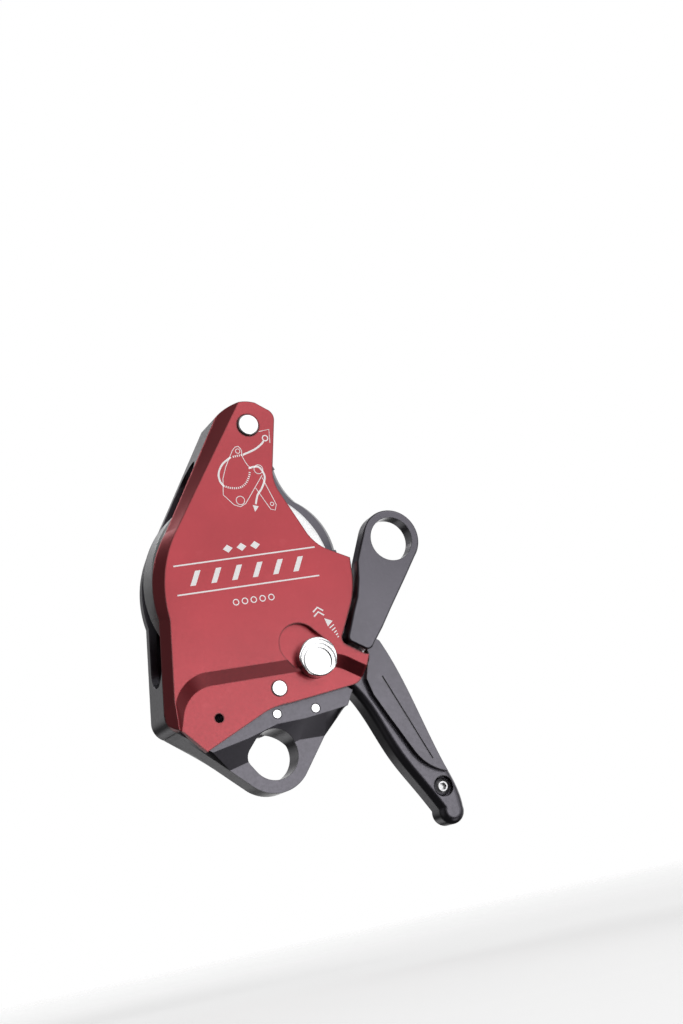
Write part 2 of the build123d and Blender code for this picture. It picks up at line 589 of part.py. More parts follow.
# ---------------------------------------------------------------- control handle
with BuildPart() as control_handle:
    with BuildSketch(at(HANDLE_BACK)):
        with BuildLine():
            ThreePointArc(polar(HANDLE_PIVOT, HUB_RADIUS, 72), polar(HANDLE_PIVOT, HUB_RADIUS, 150),
                          polar(HANDLE_PIVOT, HUB_RADIUS, 222))
            Spline(polar(HANDLE_PIVOT, HUB_RADIUS, 222), (37.4, 17.6), (49.2, -8.9), (57.6, -23.8),
                   polar(LOBE_CENTRE, LOBE_RADIUS, 165))
            ThreePointArc(polar(LOBE_CENTRE, LOBE_RADIUS, 165), polar(LOBE_CENTRE, LOBE_RADIUS, -90),
                          polar(LOBE_CENTRE, LOBE_RADIUS, 10))
            Spline(polar(LOBE_CENTRE, LOBE_RADIUS, 10), (71.9, -26.5), (69.5, -18.0), (63.6, -1.6),
                   (58.1, 19.1), (51.6, 37.0))
            Line((51.6, 37.0), polar(HANDLE_PIVOT, HUB_RADIUS, 72))
        make_face()
    extrude(amount=HANDLE_FRONT - HANDLE_BACK)
    fillet(control_handle.edges().group_by(Axis.Y)[0], HANDLE_FRONT_ROUND)
    fillet(control_handle.edges().group_by(Axis.Y)[-1], HANDLE_BACK_ROUND)
    with BuildSketch(at(HANDLE_FRONT)) as panel:
        with BuildLine():
            Polyline((44.6, 34.0), (44.6, 31.0), (41.9, 22.3), (43.3, 15.9), (46.9, 8.3), (55.1, -8.2))
            ThreePointArc((55.1, -8.2), (59.2, -13.8), (67.2, -18.4))
            Spline((67.2, -18.4), (62.5, -2.4), (57.0, 18.3), (50.5, 36.2))
            Polyline((50.5, 36.2), (46.3, 39.4), (44.6, 34.0))
        make_face()
    extrude(amount=PANEL_FRONT - HANDLE_FRONT)
    # line engraved along the raised panel
    with BuildSketch(at(PANEL_FRONT - ENGRAVING)):
        with BuildLine():
            Line((48.6, 22.0), (62.0, -12.5))
            offset(amount=ENGRAVING / 2)
        make_face()
    extrude(amount=ENGRAVING, mode=Mode.SUBTRACT)
    disc(END_SCREW, END_SCREW_RECESS, END_SCREW_SEAT, PANEL_FRONT, Mode.SUBTRACT)
    disc(END_SCREW, M4 / 2, END_SCREW_TIP, HANDLE_FRONT, Mode.SUBTRACT)
    disc(HANDLE_PIVOT, HANDLE_BUSH, HANDLE_BACK, PANEL_FRONT, Mode.SUBTRACT)
    hex_bar(HANDLE_PIVOT, KEY_APOTHEM, HANDLE_BACK, BUSH_BACK, Mode.SUBTRACT)
finish(control_handle, "control_handle")

with BuildPart() as handle_end_screw:
    button_screw(END_SCREW, M4, END_SCREW_TIP, END_SCREW_SEAT)
finish(handle_end_screw, "handle_end_screw")

with BuildPart() as handle_bush:
    disc(HANDLE_PIVOT, HANDLE_BUSH, BUSH_BACK, HANDLE_FRONT)
    disc(HANDLE_PIVOT, HANDLE_SHAFT + RUNNING, BUSH_BACK, HANDLE_FRONT, Mode.SUBTRACT)
finish(handle_bush, "handle_bush")

with BuildPart() as handle_cam:
    disc(polar(HANDLE_PIVOT, CAM_THROW, CAM_ANGLE), CAM_RADIUS, CAM_BACK, CAM_FRONT)
    disc(HANDLE_PIVOT, CAM_BOSS, CAM_FRONT, HANDLE_BACK)
    hex_bar(HANDLE_PIVOT, KEY_APOTHEM, HANDLE_BACK, BUSH_BACK)
    disc(HANDLE_PIVOT, HANDLE_SHAFT + RUNNING, ARM_BACK, BUSH_BACK, Mode.SUBTRACT)
finish(handle_cam, "handle_cam")

with BuildPart() as handle_spring:
    with BuildLine() as coil:
        Helix(COIL_PITCH, COIL_PITCH, CAM_BOSS + 0.9, center=(HANDLE_PIVOT[0], COIL_START, HANDLE_PIVOT[1]),
              direction=(0, 1, 0))
    with BuildSketch(Plane(origin=coil.line @ 0, z_dir=coil.line % 0)):
        Circle(COIL_WIRE)
    sweep(is_frenet=True)
finish(handle_spring, "handle_spring")

with BuildPart() as handle_shaft:
    disc(HANDLE_PIVOT, HANDLE_SHAFT, NUT_BACK, HANDLE_FRONT + LIFT)
    disc(HANDLE_PIVOT, SHAFT_HEAD, HANDLE_FRONT + LIFT, SHAFT_FRONT)
    chamfer(handle_shaft.edges().group_by(Axis.Y)[0], EASE)
    chamfer(handle_shaft.edges().group_by(Axis.Y)[-1], EASE)
finish(handle_shaft, "handle_shaft")

with BuildPart() as handle_shaft_nut:
    hex_bar(HANDLE_PIVOT, NUT_APOTHEM, NUT_BACK, -FACE)
    turned(HANDLE_PIVOT, [(0, NUT_BACK), (NUT_APOTHEM - 0.2, NUT_BACK), (NUT_APOTHEM + 1.1, NUT_BACK + 0.9),
                          (NUT_APOTHEM + 1.1, -FACE), (0, -FACE)], Mode.INTERSECT)
    disc(HANDLE_PIVOT, HANDLE_SHAFT, NUT_BACK, -FACE, Mode.SUBTRACT)
finish(handle_shaft_nut, "handle_shaft_nut")

# ---------------------------------------------------------------- sheave arm, its pivot and the axle
with BuildPart() as sheave_arm:
    with BuildSketch(at(ARM_BACK)):
        for centre, radius in ((SHEAVE_CENTRE, ARM_HEAD), (ARM_PIVOT, ARM_FOOT), (ARM_NOSE, ARM_TIP)):
            with Locations(centre):
                Circle(radius)
        make_hull()
    extrude(amount=ARM_FRONT - ARM_BACK)
    disc(SHEAVE_CENTRE, AXLE_RADIUS, ARM_BACK, ARM_FRONT, Mode.SUBTRACT)
    disc(SHEAVE_CENTRE, COLLAR_RADIUS, ARM_BACK, COLLAR_BACK, Mode.SUBTRACT)
    disc(ARM_PIVOT, ARM_BUSH, ARM_BACK, ARM_FRONT, Mode.SUBTRACT)
    disc(ARM_PIVOT, ARM_PIN_HEAD + GAP, ARM_PIN_SEAT, ARM_FRONT, Mode.SUBTRACT)
finish(sheave_arm, "sheave_arm")

with BuildPart() as arm_bush:
    disc(ARM_PIVOT, ARM_BUSH, ARM_BACK, ARM_PIN_SEAT)
    disc(ARM_PIVOT, HANDLE_SHAFT + RUNNING, ARM_BACK, ARM_PIN_SEAT, Mode.SUBTRACT)
finish(arm_bush, "arm_bush")

with BuildPart() as arm_pivot_pin:
    disc(ARM_PIVOT, HANDLE_SHAFT, -FACE, ARM_PIN_SHOULDER)
    disc(ARM_PIVOT, ARM_PIN_HEAD, ARM_PIN_SHOULDER, ARM_FRONT)
    disc(ARM_PIVOT, ARM_PIN_HEAD, -FACE - PIN_PROUD, -FACE)
    chamfer(arm_pivot_pin.edges().group_by(Axis.Y)[-1], EASE)
finish(arm_pivot_pin, "arm_pivot_pin")

with BuildPart() as sheave_axle:
    disc(SHEAVE_CENTRE, AXLE_RADIUS, ARM_BACK, WASHER_BACK)
    disc(SHEAVE_CENTRE, COLLAR_RADIUS, ARM_BACK, COLLAR_BACK)
    disc(SHEAVE_CENTRE, AXLE_SCREW, -SCREW_TIP, WASHER_BACK, Mode.SUBTRACT)
finish(sheave_axle, "sheave_axle")

with BuildPart() as axle_washer:
    disc(SHEAVE_CENTRE, WASHER_RADIUS, WASHER_BACK, WASHER_FRONT)
    disc(SHEAVE_CENTRE, AXLE_SCREW, WASHER_BACK, WASHER_FRONT, Mode.SUBTRACT)
    chamfer(axle_washer.edges().group_by(Axis.Y)[0].sort_by(SortBy.RADIUS)[-1], SMALL_EASE)
finish(axle_washer, "axle_washer")

with BuildPart() as axle_screw:
    disc(SHEAVE_CENTRE, AXLE_SCREW, -SCREW_TIP, WASHER_FRONT)
    disc(SHEAVE_CENTRE, AXLE_SCREW_HEAD, WASHER_FRONT, AXLE_SCREW_FRONT)
    hex_bar(SHEAVE_CENTRE, AXLE_SCREW / 2, WASHER_FRONT - GAP, AXLE_SCREW_FRONT, Mode.SUBTRACT)
finish(axle_screw, "axle_screw")

# ---------------------------------------------------------------- one-way clutch inside the sheave
with BuildPart() as clutch_inner_ring:
    disc(SHEAVE_CENTRE, INNER_RING, ARM_FRONT, WASHER_BACK)
    disc(SHEAVE_CENTRE, AXLE_RADIUS, ARM_FRONT, WASHER_BACK, Mode.SUBTRACT)
finish(clutch_inner_ring, "clutch_inner_ring")

roller_places = [polar(SHEAVE_CENTRE, ROLLER_CIRCLE, 360 / ROLLERS * number) for number in range(ROLLERS)]
with BuildPart() as clutch_rollers:
    for place in roller_places:
        disc(place, ROLLER_RADIUS, ROLLER_BACK, ROLLER_FRONT)
finish(clutch_rollers, "clutch_rollers")

with BuildPart() as clutch_cage:
    disc(SHEAVE_CENTRE, CAGE_OUTER, CAGE_BACK, CAGE_FRONT)
    disc(SHEAVE_CENTRE, CAGE_INNER, CAGE_BACK, CAGE_FRONT, Mode.SUBTRACT)
    for place in roller_places:
        disc(place, ROLLER_RADIUS + LIFT, ROLLER_BACK - LIFT, ROLLER_FRONT + LIFT, Mode.SUBTRACT)
finish(clutch_cage, "clutch_cage")

with BuildPart() as clutch_shell:
    disc(SHEAVE_CENTRE, SHELL_OUTER, SHELL_BACK, SHELL_FRONT)
    disc(SHEAVE_CENTRE, SHELL_INNER, SHELL_BACK, SHELL_FRONT, Mode.SUBTRACT)
finish(clutch_shell, "clutch_shell")

# ---------------------------------------------------------------- sheave with its V groove
with BuildPart() as sheave:
    turned(SHEAVE_CENTRE, [
        (SHELL_OUTER, SHEAVE_BACK), (SHEAVE_RADIUS - RIM, SHEAVE_BACK), (SHEAVE_RADIUS, SHEAVE_BACK + RIM),
        (GROOVE_RADIUS, GROOVE_MIDDLE - GROOVE_HALF), (GROOVE_RADIUS, GROOVE_MIDDLE + GROOVE_HALF),
        (SHEAVE_RADIUS, SHEAVE_FRONT - RIM), (SHEAVE_RADIUS - RIM, SHEAVE_FRONT), (SHELL_OUTER, SHEAVE_FRONT),
    ])
    for face_back in (SHEAVE_FRONT - WEB_DEPTH, SHEAVE_BACK):
        with BuildSketch(at(face_back)):
            with Locations(SHEAVE_CENTRE):
                Circle(WEB_OUTER)
                Circle(HUB_RIM, mode=Mode.SUBTRACT)
        extrude(amount=WEB_DEPTH, mode=Mode.SUBTRACT)
finish(sheave, "sheave")

# ---------------------------------------------------------------- brake shoe
with BuildPart() as brake_shoe:
    with BuildSketch(at(-PLATE_INSIDE)):
        with BuildLine():
            CenterArc(SHEAVE_CENTRE, SHOE_MIDDLE, SHOE_START, SHOE_TURN)
            offset(amount=SHOE_HALF)
        make_face()
    extrude(amount=PLATE_INSIDE + SHOE_FRONT)
    for centre in SHOE_SCREWS:
        disc(centre, M4 / 2, -PLATE_INSIDE, SCREW_TIP, Mode.SUBTRACT)
finish(brake_shoe, "brake_shoe")

with BuildPart() as brake_shoe_screws:
    rear_screws(SHOE_SCREWS, M4, SCREW_TIP)
finish(brake_shoe_screws, "brake_shoe_screws")
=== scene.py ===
"""Looks for the rope clutch: metal finishes, printed markings, studio light and camera."""
import json
import math

import bmesh
import bpy
from mathutils import Matrix, Vector


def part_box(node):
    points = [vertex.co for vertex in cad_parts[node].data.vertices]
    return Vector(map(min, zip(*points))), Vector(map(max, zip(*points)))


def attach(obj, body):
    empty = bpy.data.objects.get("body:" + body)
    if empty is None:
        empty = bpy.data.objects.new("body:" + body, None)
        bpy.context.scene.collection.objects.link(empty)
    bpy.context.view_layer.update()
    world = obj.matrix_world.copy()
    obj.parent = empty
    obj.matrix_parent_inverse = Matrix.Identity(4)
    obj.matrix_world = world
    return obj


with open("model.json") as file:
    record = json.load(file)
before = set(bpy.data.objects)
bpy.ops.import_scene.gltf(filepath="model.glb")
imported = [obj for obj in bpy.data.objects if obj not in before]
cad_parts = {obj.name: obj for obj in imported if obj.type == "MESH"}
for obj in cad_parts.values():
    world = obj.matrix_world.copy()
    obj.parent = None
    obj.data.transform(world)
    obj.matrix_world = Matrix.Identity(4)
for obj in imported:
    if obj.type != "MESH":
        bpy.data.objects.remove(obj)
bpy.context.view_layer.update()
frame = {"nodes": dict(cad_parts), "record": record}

MM = 0.001
WHITE = (1, 1, 1, 1)
scene = bpy.context.scene


# ---------------------------------------------------------------- node helpers
class Finish:
    """A node material with one Principled shader and short helpers to wire it up."""

    def __init__(self, name):
        self.material = bpy.data.materials.new(name)
        self.material.use_nodes = True
        self.nodes = self.material.node_tree.nodes
        self.links = self.material.node_tree.links
        self.shader = self.nodes["Principled BSDF"]
        self.place = self.nodes.new("ShaderNodeTexCoord").outputs["Object"]

    def put(self, socket, value):
        """Sets a shader input to a value, or wires an output into it."""
        if hasattr(value, "is_output"):
            self.links.new(value, self.shader.inputs[socket])
        else:
            self.shader.inputs[socket].default_value = value

    def noise(self, scale, detail, stretch=(1, 1, 1), distortion=0.0):
        """Noise in object space; scale is in cells per metre, stretch squeezes it along the axes."""
        mapping = self.nodes.new("ShaderNodeMapping")
        mapping.inputs["Scale"].default_value = stretch
        self.links.new(self.place, mapping.inputs["Vector"])
        texture = self.nodes.new("ShaderNodeTexNoise")
        texture.inputs["Scale"].default_value = scale
        texture.inputs["Detail"].default_value = detail
        texture.inputs["Distortion"].default_value = distortion
        self.links.new(mapping.outputs["Vector"], texture.inputs["Vector"])
        return texture.outputs["Fac"]

    def span(self, source, low, high, start=0.3, stop=0.7):
        """Maps an output onto low-high, as it goes from start to stop."""
        ramp = self.nodes.new("ShaderNodeMapRange")
        ramp.inputs["From Min"].default_value = start
        ramp.inputs["From Max"].default_value = stop
        ramp.inputs["To Min"].default_value = low
        ramp.inputs["To Max"].default_value = high
        self.links.new(source, ramp.inputs["Value"])
        return ramp.outputs["Result"]

    def blend(self, factor, low, high):
        """Mixes two colours by an output."""
        mix = self.nodes.new("ShaderNodeMix")
        mix.data_type = "RGBA"
        self.links.new(factor, mix.inputs["Factor"])
        for socket, colour in (("A", low), ("B", high)):
            entry = next(s for s in mix.inputs if s.name == socket and s.type == "RGBA")
            if hasattr(colour, "is_output"):
                self.links.new(colour, entry)
            else:
                entry.default_value = (*colour, 1)
        return next(s for s in mix.outputs if s.type == "RGBA")

    def relief(self, height, strength, distance, rounding=0.0):
        """Bumps the surface by an output, over edges that shade as if rounded by a radius."""
        bump = self.nodes.new("ShaderNodeBump")
        if rounding:
            bevel = self.nodes.new("ShaderNodeBevel")
            bevel.samples = 6
            bevel.inputs["Radius"].default_value = rounding
            self.links.new(bevel.outputs["Normal"], bump.inputs["Normal"])
        bump.inputs["Strength"].default_value = strength
        bump.inputs["Distance"].default_value = distance
        self.links.new(height, bump.inputs["Height"])
        self.put("Normal", bump.outputs["Normal"])


def darker(colour, share):
    """A colour with its channels scaled down to a share."""
    return tuple(channel * share for channel in colour)


# ---------------------------------------------------------------- materials
def anodised(name, colour, worn, roughness, coat, rounding):
    """Blasted and anodised aluminium: a fine grain, slow tint drift and paler rubbed patches."""
    finish = Finish(name)
    drift = finish.span(finish.noise(scale=35, detail=3), low=0, high=1)
    tint = finish.blend(drift, darker(colour, 0.86), colour)
    patches = finish.noise(scale=210, detail=6, distortion=0.6)
    rubbed = finish.span(patches, low=0, high=0.35, start=0.62, stop=0.8)
    satin = finish.noise(scale=900, detail=4)
    blasted_grain = finish.noise(scale=7000, detail=2)
    finish.put("Base Color", finish.blend(rubbed, tint, worn))
    finish.put("Metallic", 1.0)
    finish.put("Roughness", finish.span(satin, low=roughness - 0.05, high=roughness + 0.05))
    finish.put("Coat Weight", coat)
    finish.put("Coat Roughness", 0.2)
    finish.relief(blasted_grain, strength=0.12, distance=0.05 * MM, rounding=rounding)
    return finish.material


def steel(name, colour, roughness, stretch, strength=0.1):
    """Machined steel with fine tool lines across the stretched axis."""
    finish = Finish(name)
    tool_lines = finish.noise(scale=1500, detail=3, stretch=stretch)
    smudge = finish.noise(scale=90, detail=4)
    shine = finish.span(tool_lines, low=0, high=1)
    finish.put("Base Color", finish.blend(shine, darker(colour, 0.85), colour))
    finish.put("Metallic", 1.0)
    finish.put("Roughness", finish.span(smudge, low=roughness - 0.06, high=roughness + 0.08))
    finish.relief(tool_lines, strength, distance=0.04 * MM, rounding=0.25 * MM)
    return finish.material


def paint(name, colour):
    """Printed ink, slightly uneven, with a faint painted glow (emission, no lamp) so that it stays white
    on the metal.
    """
    finish = Finish(name)
    cover = finish.span(finish.noise(scale=800, detail=4), low=0, high=1)
    speckle = finish.noise(scale=2500, detail=2)
    grain = finish.noise(scale=6000, detail=2)
    finish.put("Base Color", finish.blend(cover, darker(colour, 0.9), colour))
    finish.put("Roughness", finish.span(speckle, low=0.45, high=0.6))
    # Painted light: a faint white emission keeps the ink bright, as if it were lit more strongly than it
    # is.
    finish.put("Emission Color", WHITE)
    finish.put("Emission Strength", 0.22)
    finish.relief(grain, strength=0.1, distance=0.03 * MM)
    return finish.material


RED = anodised(
    "red_anodised",
    colour=(0.352, 0.036, 0.047),
    worn=(0.41, 0.06, 0.072),
    roughness=0.36,
    coat=0.7,
    rounding=0.9 * MM,
)
BLACK = anodised(
    "black_anodised",
    colour=(0.095, 0.089, 0.107),
    worn=(0.13, 0.124, 0.142),
    roughness=0.34,
    coat=0.7,
    rounding=0.5 * MM,
)
BRUSHED = steel("brushed_stainless", colour=(0.63, 0.63, 0.64), roughness=0.3, stretch=(1, 1, 12))
TURNED = steel(
    "turned_steel",
    colour=(0.78, 0.78, 0.79),
    roughness=0.24,
    stretch=(1, 14, 1),
    strength=0.04,
)
POLISHED = steel(
    "polished_steel",
    colour=(0.88, 0.88, 0.89),
    roughness=0.16,
    stretch=(3, 3, 3),
    strength=0.04,
)
OXIDE = steel("black_oxide_steel", colour=(0.09, 0.09, 0.1), roughness=0.34, stretch=(2, 2, 2))
BRONZE = steel("bronze", colour=(0.52, 0.36, 0.2), roughness=0.33, stretch=(1, 10, 1))
INK = paint("white_ink", colour=(0.95, 0.93, 0.93))

LOOK_OF_SLOT = {
    "red_anodised": RED,
    "black_anodised": BLACK,
    "stainless": BRUSHED,
    "polished_steel": POLISHED,
    "dark_steel": OXIDE,
    "bronze": BRONZE,
}
TURNED_NODES = (
    "sheave",
    "top_spacer",
    "handle_shaft",
    "axle_washer",
    "sheave_axle",
    "clutch_inner_ring",
    "clutch_shell",
)


def dress(part):
    """Gives a CAD node the look of its slot in the record, or the turned finish."""
    node = part["node"]
    look = TURNED if node in TURNED_NODES else LOOK_OF_SLOT[part["material_slot"]]
    for slot in frame["nodes"][node].material_slots:
        slot.material = look


for subpart in frame["record"]["subparts"]:
    dress(subpart)

# ---------------------------------------------------------------- markings printed on the front plate
# All places are (x, z) in millimetres on the plate's front face, and all widths are in millimetres.
# The ink is a thin slab that starts just under the face and stands just proud of it.
PLATE_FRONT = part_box("front_side_plate")[0].y / MM
INK_SUNK = 0.02
INK_PROUD = 0.03
INK_BACK = PLATE_FRONT + INK_SUNK
INK_FRONT = PLATE_FRONT - INK_PROUD


def plate_point(place, y):
    """A point in metres from (x, z) and y in millimetres."""
    return Vector((place[0], y, place[1])) * MM


def layer(mesh, line, y):
    """New vertices along a line, all at one y."""
    return [mesh.verts.new(plate_point(place, y)) for place in line]


def prism(mesh, outline):
    """A thin closed slab on the plate's face from one convex outline."""
    turn = sum(a[0] * b[1] - b[0] * a[1] for a, b in zip(outline, outline[1:] + outline[:1]))
    corners = outline if turn > 0 else outline[::-1]
    back = layer(mesh, corners, INK_BACK)
    front = layer(mesh, corners, INK_FRONT)
    mesh.faces.new(front)
    mesh.faces.new(back[::-1])
    for index in range(len(corners)):
        after = (index + 1) % len(corners)
        mesh.faces.new((front[index], back[index], back[after], front[after]))


def curve_value(p, q, r, s, t):
    """One coordinate of a Catmull-Rom curve from q to r, as t goes from 0 to 1."""
    slope = (r - p) * t
    bend = (2 * p - 5 * q + 4 * r - s) * t ** 2
    twist = (3 * q - p - 3 * r + s) * t ** 3
    return 0.5 * (2 * q + slope + bend + twist)


def smooth_line(points, steps=10):
    """A smooth curve through points, as a finer list of points."""
    padded = [points[0], *points, points[-1]]
    line = []
    for around in zip(padded, padded[1:], padded[2:], padded[3:]):
        for step in range(steps):
            line.append(tuple(curve_value(*values, step / steps) for values in zip(*around)))
    return [*line, tuple(points[-1])]


def ribbon(mesh, points, width, closed=False):
    """A band of even width along a line, as one closed slab."""
    count = len(points)
    left, right = [], []
    for index, here in enumerate(points):
        before = points[index - 1] if index or closed else here
        after = points[(index + 1) % count] if index < count - 1 or closed else here
        along = (Vector(after) - Vector(before)).normalized()
        across = Vector((-along.y, along.x)) * width / 2
        left.append((here[0] + across.x, here[1] + across.y))
        right.append((here[0] - across.x, here[1] - across.y))
    back_left, back_right = layer(mesh, left, INK_BACK), layer(mesh, right, INK_BACK)
    front_left, front_right = layer(mesh, left, INK_FRONT), layer(mesh, right, INK_FRONT)
    for index in range(count if closed else count - 1):
        after = (index + 1) % count
        mesh.faces.new((front_left[index], front_right[index], front_right[after], front_left[after]))
        mesh.faces.new((back_left[after], back_right[after], back_right[index], back_left[index]))
        mesh.faces.new((front_left[after], back_left[after], back_left[index], front_left[index]))
        mesh.faces.new((front_right[index], back_right[index], back_right[after], front_right[after]))
    if not closed:
        mesh.faces.new((front_left[0], back_left[0], back_right[0], front_right[0]))
        mesh.faces.new((front_right[-1], back_right[-1], back_left[-1], front_left[-1]))


def circle(mesh, centre, radius, width, segments=32):
    """A thin circle."""
    turns = [math.tau * index / segments for index in range(segments)]
    line = [(centre[0] + radius * math.cos(turn), centre[1] + radius * math.sin(turn)) for turn in turns]
    ribbon(mesh, line, width, closed=True)


def stitches(mesh, points, width, pitch, fill=0.5):
    """Short dashes as wide as a rope along a line, for the rope where it is hidden."""
    line = smooth_line(points)
    travelled = 0.0
    due = 0.0
    for a, b in zip(line, line[1:]):
        start = Vector(a)
        leg = Vector(b) - start
        while due <= travelled + leg.length and leg.length:
            middle = start.lerp(Vector(b), (due - travelled) / leg.length)
            along = leg.normalized() * pitch * fill / 2
            across = Vector((-along.y, along.x)).normalized() * width / 2
            right = (middle - along - across, middle + along - across)
            left = (middle + along + across, middle - along + across)
            prism(mesh, [tuple(corner) for corner in (*right, *left)])
            due += pitch
        travelled += leg.length


def marking(name, draw):
    """One printed piece on the front plate, drawn by a function."""
    work = bmesh.new()
    draw(work)
    mesh = bpy.data.meshes.new(name)
    work.to_mesh(mesh)
    work.free()
    mesh.materials.append(INK)
    piece = bpy.data.objects.new(name, mesh)
    scene.collection.objects.link(piece)
    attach(piece, "front_plate")


def row(first, pitch, count):
    """Evenly spaced places along x."""
    return [first + pitch * index for index in range(count)]


def draw_band(mesh):
    """Two long lines with a row of slanted bars between them."""
    line_width = 0.55
    foot, top = 67.2, 72.8
    reach, bar_width = 2.6, 2.2
    ribbon(mesh, [(-27.7, 75.6), (30.2, 75.7)], line_width)
    ribbon(mesh, [(-28.3, 64.3), (29.6, 64.3)], line_width)
    for x in row(first=-20.0, pitch=8.4, count=6):
        left, right = x - reach, x + reach
        prism(mesh, [(left, foot), (left + bar_width, foot), (right, top), (right - bar_width, top)])


def draw_picture(mesh):
    """The device with its rope led round the sheave, as a line drawing."""
    draw_pictured_device(mesh, line_width=0.27)
    draw_pictured_rope(mesh, rope_width=0.75)


def draw_pictured_device(mesh, line_width):
    """The drawing's thin lines: plates, eyes and handle, with the wall at its top end."""
    plate_edge = [
        (7.6, 119.4), (6.2, 119.2), (4.9, 118.0), (0.9, 111.8), (-1.2, 107.3),
        (-2.4, 100.8), (1.1, 96.4), (3.5, 95.3), (5.9, 96.3), (14.9, 106.8),
    ]
    plate_shoulder = [(7.6, 119.4), (8.6, 117.6), (8.4, 115.4), (9.6, 111.9), (11.1, 109.9)]
    handle = [(14.7, 105.9), (18.2, 94.4), (17.3, 92.3), (15.5, 92.9), (11.2, 102.0)]
    wall = [(17.3, 124.4), (21.6, 124.9), (20.9, 119.4)]
    ribbon(mesh, plate_edge, line_width)
    ribbon(mesh, smooth_line(plate_shoulder), line_width)
    ribbon(mesh, handle, line_width)
    ribbon(mesh, wall, line_width)
    top_pin, tether_eye, side_eye, handle_screw = (7.0, 117.5), (4.0, 97.8), (13.9, 109.3), (16.5, 94.9)
    for centre, radius in ((top_pin, 0.9), (tether_eye, 1.7), (side_eye, 1.8), (handle_screw, 0.7)):
        circle(mesh, centre, radius, line_width)


def draw_pictured_rope(mesh, rope_width):
    """The drawing's rope: from its anchor ring to the device, round it, and down to an arrowhead."""
    hidden_width, hidden_pitch = 0.8, 0.85
    from_ring = [(18.4, 120.4), (17.3, 119.3), (14.2, 117.5), (9.2, 115.9)]
    into_device = [(9.0, 115.8), (6.2, 115.6), (4.4, 115.4)]
    left_side = [(3.7, 115.4), (-0.2, 113.0), (-2.5, 109.5), (-2.6, 106.5), (-1.6, 104.4)]
    under_sheave = [(-1.4, 104.2), (1.5, 103.1), (4.9, 102.9), (7.6, 104.3), (9.6, 107.1), (10.3, 109.2)]
    free_end = [
        (10.0, 110.1), (12.3, 110.5), (14.4, 110.0), (15.7, 107.4),
        (15.6, 105.0), (13.6, 101.5), (11.4, 99.1), (9.9, 95.6),
    ]
    circle(mesh, centre=(19.3, 121.5), radius=1.1, width=0.45)
    for seen in (from_ring, left_side, free_end):
        ribbon(mesh, smooth_line(seen), rope_width)
    for hidden in (into_device, under_sheave):
        stitches(mesh, hidden, hidden_width, hidden_pitch)
    prism(mesh, [(8.6, 95.4), (10.9, 94.6), (9.0, 92.6)])


def draw_badges(mesh):
    """Three diamonds over the band and a row of rings under it."""
    diamond_level, ring_level = 79.6, 58.6
    half_width, half_height = 2.0, 1.6
    for x in row(first=-5.0, pitch=5.6, count=3):
        left, right = (x - half_width, diamond_level), (x + half_width, diamond_level)
        foot, top = (x, diamond_level - half_height), (x, diamond_level + half_height)
        prism(mesh, [left, foot, right, top])
    for x in row(first=-6.0, pitch=3.6, count=5):
        circle(mesh, (x, ring_level), radius=1.1, width=0.4)


def draw_arrow(mesh):
    """A fading arrow towards the latch's free side, with a double chevron by its head."""
    dash_slope = 0.55
    head = [(27.9, 47.4), (31.1, 45.9), (28.7, 44.0)]
    tail = (
        ((30.3, 43.9), 1.0),
        ((30.8, 42.7), 0.8),
        ((31.3, 41.6), 0.6),
        ((31.7, 40.5), 0.45),
        ((32.0, 39.5), 0.3),
    )
    prism(mesh, head)
    for (x, z), half in tail:
        rise = dash_slope * half
        ribbon(mesh, [(x - half, z - rise), (x + half, z + rise)], width=0.45)
    chevron_x, half_width, chevron_rise = 26.0, 2.1, 1.6
    for foot in (48.6, 50.4):
        peak = (chevron_x, foot + chevron_rise)
        ribbon(mesh, [(chevron_x - half_width, foot), peak, (chevron_x + half_width, foot)], width=0.6)


marking("marking_band", draw_band)
marking("marking_badges", draw_badges)
marking("marking_picture", draw_picture)
marking("marking_arrow", draw_arrow)

# ---------------------------------------------------------------- light
AMBIENT = 0.05
# Each panel is a soft round patch of light in one direction of the sky. It fades in as the cosine
# of the angle from its aim goes from the second number to the third. The last number is its power.
PANELS = (
    ((0.39, -0.87, 0.28), 0.70, 0.94, 0.95),  # in front, for the front faces
    ((0.40, -0.50, -0.77), 0.93, 1.0, 0.80),  # in front and below, for the plate's ramp
    ((0.30, 0.0, 0.95), 0.30, 0.95, 0.36),  # overhead
    ((-0.97, -0.1, 0.15), 0.70, 0.97, 0.14),  # left side
    ((-0.15, 0.92, 0.36), 0.90, 0.98, 0.12),  # behind, high, for the upper left wall
    ((-0.43, 0.88, 0.15), 0.955, 0.99, 0.22),  # behind, for the lower left wall
    ((-0.18, 0.90, -0.39), 0.975, 0.998, 0.50),  # behind, low, for the frame's left facet
    ((1.0, -0.1, 0.2), 0.50, 0.95, 0.30),  # right side
    ((0.30, 0.95, 0.05), 0.90, 0.98, 0.50),  # straight behind, for views of the back
    ((0.75, 0.65, 0.15), 0.75, 0.97, 0.80),  # behind on the right, for views of the back
)


def panel_light(nodes, links, direction, panel):
    """One panel's light from a direction, as an output."""
    aim, start, stop, power = panel
    closeness = nodes.new("ShaderNodeVectorMath")
    closeness.operation = "DOT_PRODUCT"
    closeness.inputs[1].default_value = Vector(aim).normalized()
    links.new(direction, closeness.inputs[0])
    ramp = nodes.new("ShaderNodeMapRange")
    ramp.interpolation_type = "SMOOTHSTEP"
    ramp.inputs["From Min"].default_value = start
    ramp.inputs["From Max"].default_value = stop
    ramp.inputs["To Max"].default_value = power
    links.new(closeness.outputs["Value"], ramp.inputs["Value"])
    return ramp.outputs["Result"]


